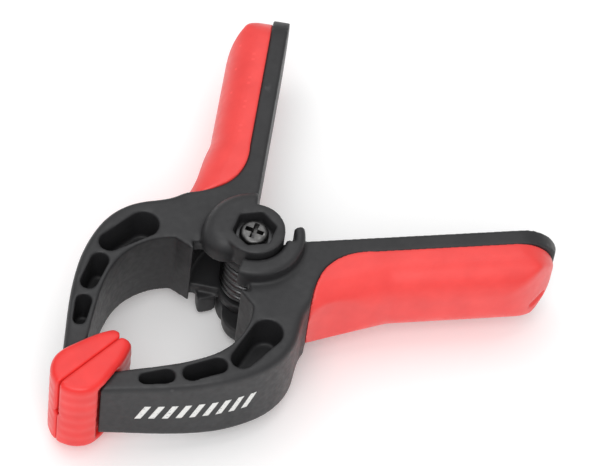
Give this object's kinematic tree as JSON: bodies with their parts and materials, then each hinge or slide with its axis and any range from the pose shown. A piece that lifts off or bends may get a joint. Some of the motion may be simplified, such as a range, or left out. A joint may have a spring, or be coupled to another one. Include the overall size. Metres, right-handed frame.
{
  "type": "spring clamp",
  "caption": "Squeeze-handle spring clamp with curved jaws, swivelling pads, soft grips and a coil spring round a screw pivot.",
  "frame": {"origin": "midpoint between the two pad faces, where the clamp holds its work, at mid-depth", "axes": "+X from the pads to the pivot and on between the handles, +Y the rear arm's side, +Z along the pivot towards the screw head"},
  "size_m": [0.1347, 0.112, 0.0358],
  "materials": {
    "nylon": "black glass-filled nylon with a fine matt grain",
    "grip_rubber": "smooth satin red soft plastic",
    "pad_rubber": "satin red soft plastic, a little deeper than the grips",
    "plated_steel": "zinc-plated steel",
    "spring_wire": "drawn spring wire, lightly oiled"
  },
  "bodies": {
    "rear_arm": {"rear_arm": "nylon", "rear_grip": "grip_rubber", "torsion_spring": "spring_wire"},
    "front_arm": {"front_arm": "nylon", "front_grip": "grip_rubber", "pivot_screw": "plated_steel", "barrel_nut": "plated_steel", "screw_washer": "plated_steel"},
    "rear_pad": {"rear_pad": "pad_rubber"},
    "front_pad": {"front_pad": "pad_rubber"}
  },
  "joints": [
    {"name": "arm_pivot", "type": "hinge", "parent": "rear_arm", "child": "front_arm", "pos_m": [0.0573, 0, 0], "axis": [0, 0, 1], "range_deg": [0, 52], "stiffness_Nm_per_rad": 1.5, "springref_deg": -22.92, "deforming": ["torsion_spring"]},
    {"name": "rear_pad_swivel", "type": "hinge", "parent": "rear_arm", "child": "rear_pad", "pos_m": [0.0008, 0.0042, 0], "axis": [0, 0, 1], "range_deg": [0, 5.51]},
    {"name": "front_pad_swivel", "type": "hinge", "parent": "front_arm", "child": "front_pad", "pos_m": [0.0008, -0.0042, 0], "axis": [0, 0, 1], "range_deg": [-5.51, 0]}
  ],
  "couplings": [
    {"joint": "rear_pad_swivel", "follows": "arm_pivot", "ratio": 0.1058},
    {"joint": "front_pad_swivel", "follows": "arm_pivot", "ratio": -0.1058}
  ]
}
